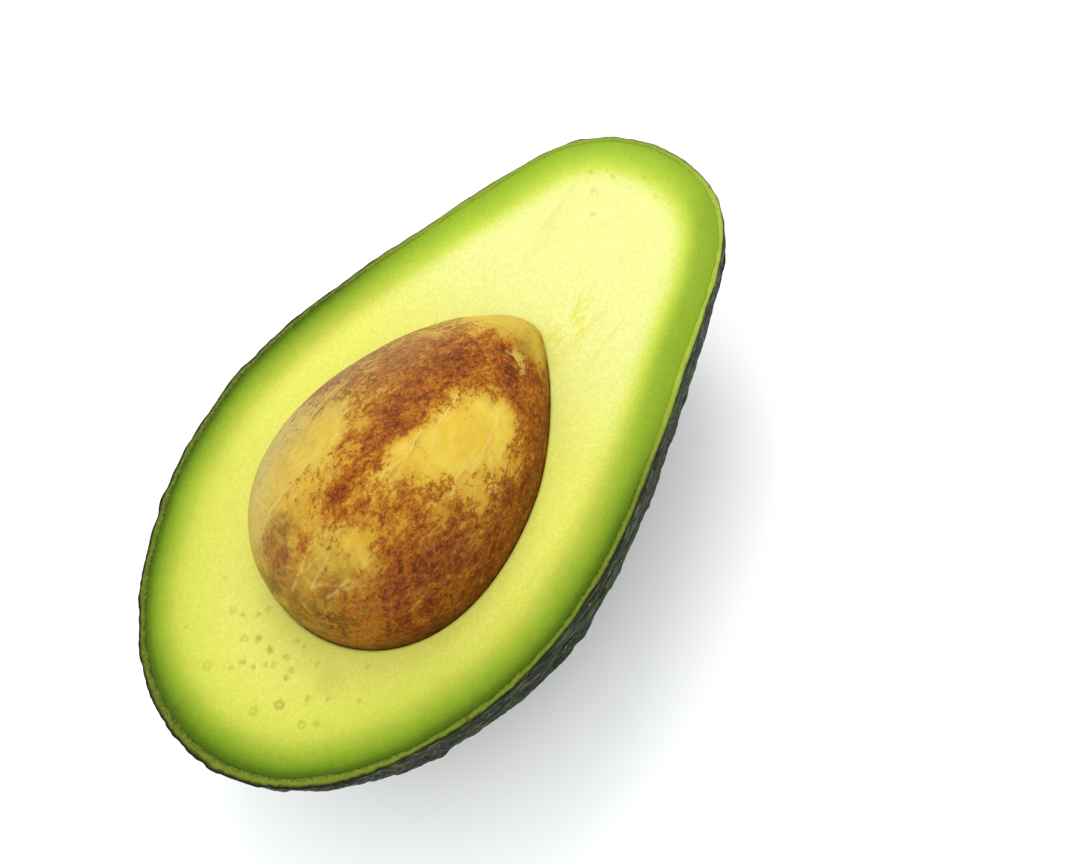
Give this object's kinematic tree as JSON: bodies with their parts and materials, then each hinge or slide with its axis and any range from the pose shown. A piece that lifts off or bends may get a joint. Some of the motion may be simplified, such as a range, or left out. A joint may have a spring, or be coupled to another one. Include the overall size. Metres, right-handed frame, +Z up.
{
  "type": "avocado",
  "caption": "Avocado half with its stone, lying on its back with the cut face up: dark pebbly peel, pale green flesh and a pointed brown stone seated in the middle.",
  "frame": {"origin": "centre of the bounding box in plan, on the surface that the half rests on", "axes": "+X along the fruit from the blossom end to the neck, +Y across it, +Z up out of the cut face"},
  "size_m": [0.102, 0.0628, 0.0482],
  "materials": {
    "peel": "satin",
    "flesh": "satin",
    "stone": "satin"
  },
  "bodies": {
    "root": {"skin": "peel", "flesh": "flesh", "stone": "stone"}
  },
  "joints": []
}
